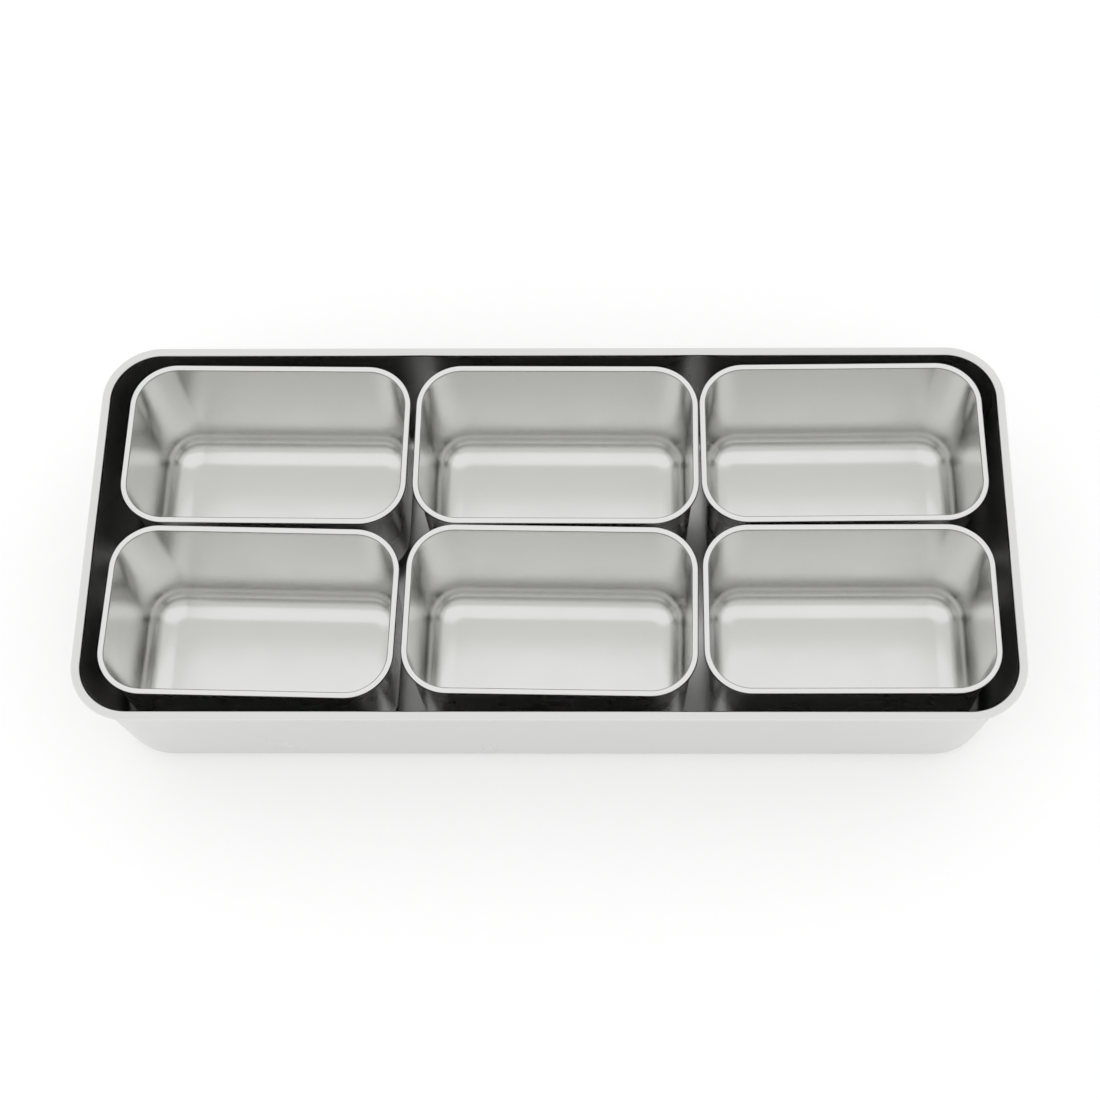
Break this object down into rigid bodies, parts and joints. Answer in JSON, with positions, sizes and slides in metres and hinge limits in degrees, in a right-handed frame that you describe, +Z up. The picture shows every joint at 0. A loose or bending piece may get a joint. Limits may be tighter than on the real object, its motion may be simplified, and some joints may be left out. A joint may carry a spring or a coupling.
{
  "type": "bar garnish tray",
  "caption": "Long pressed steel tray with a rolled rim that holds two rows of loose, deep, round-cornered pans for garnishes and condiments.",
  "frame": {"origin": "middle of the tray's underside, on the surface that it stands on", "axes": "+X along the tray to the right as seen from the front, +Y towards the back, +Z up"},
  "size_m": [0.39, 0.1714, 0.071],
  "materials": {
    "tray_steel": "satin",
    "pan_steel": "satin"
  },
  "bodies": {
    "tray": {"outer_tray": "tray_steel"},
    "pan_back_left": {"pan_back_left": "pan_steel"},
    "pan_back_middle": {"pan_back_middle": "pan_steel"},
    "pan_back_right": {"pan_back_right": "pan_steel"},
    "pan_front_left": {"pan_front_left": "pan_steel"},
    "pan_front_middle": {"pan_front_middle": "pan_steel"},
    "pan_front_right": {"pan_front_right": "pan_steel"}
  },
  "joints": [
    {"name": "pan_back_left_lift", "type": "slide", "parent": "tray", "child": "pan_back_left", "axis": [0, 0, 1], "range_m": [0, 0.075]},
    {"name": "pan_back_middle_lift", "type": "slide", "parent": "tray", "child": "pan_back_middle", "axis": [0, 0, 1], "range_m": [0, 0.075]},
    {"name": "pan_back_right_lift", "type": "slide", "parent": "tray", "child": "pan_back_right", "axis": [0, 0, 1], "range_m": [0, 0.075]},
    {"name": "pan_front_left_lift", "type": "slide", "parent": "tray", "child": "pan_front_left", "axis": [0, 0, 1], "range_m": [0, 0.075]},
    {"name": "pan_front_middle_lift", "type": "slide", "parent": "tray", "child": "pan_front_middle", "axis": [0, 0, 1], "range_m": [0, 0.075]},
    {"name": "pan_front_right_lift", "type": "slide", "parent": "tray", "child": "pan_front_right", "axis": [0, 0, 1], "range_m": [0, 0.075]}
  ]
}
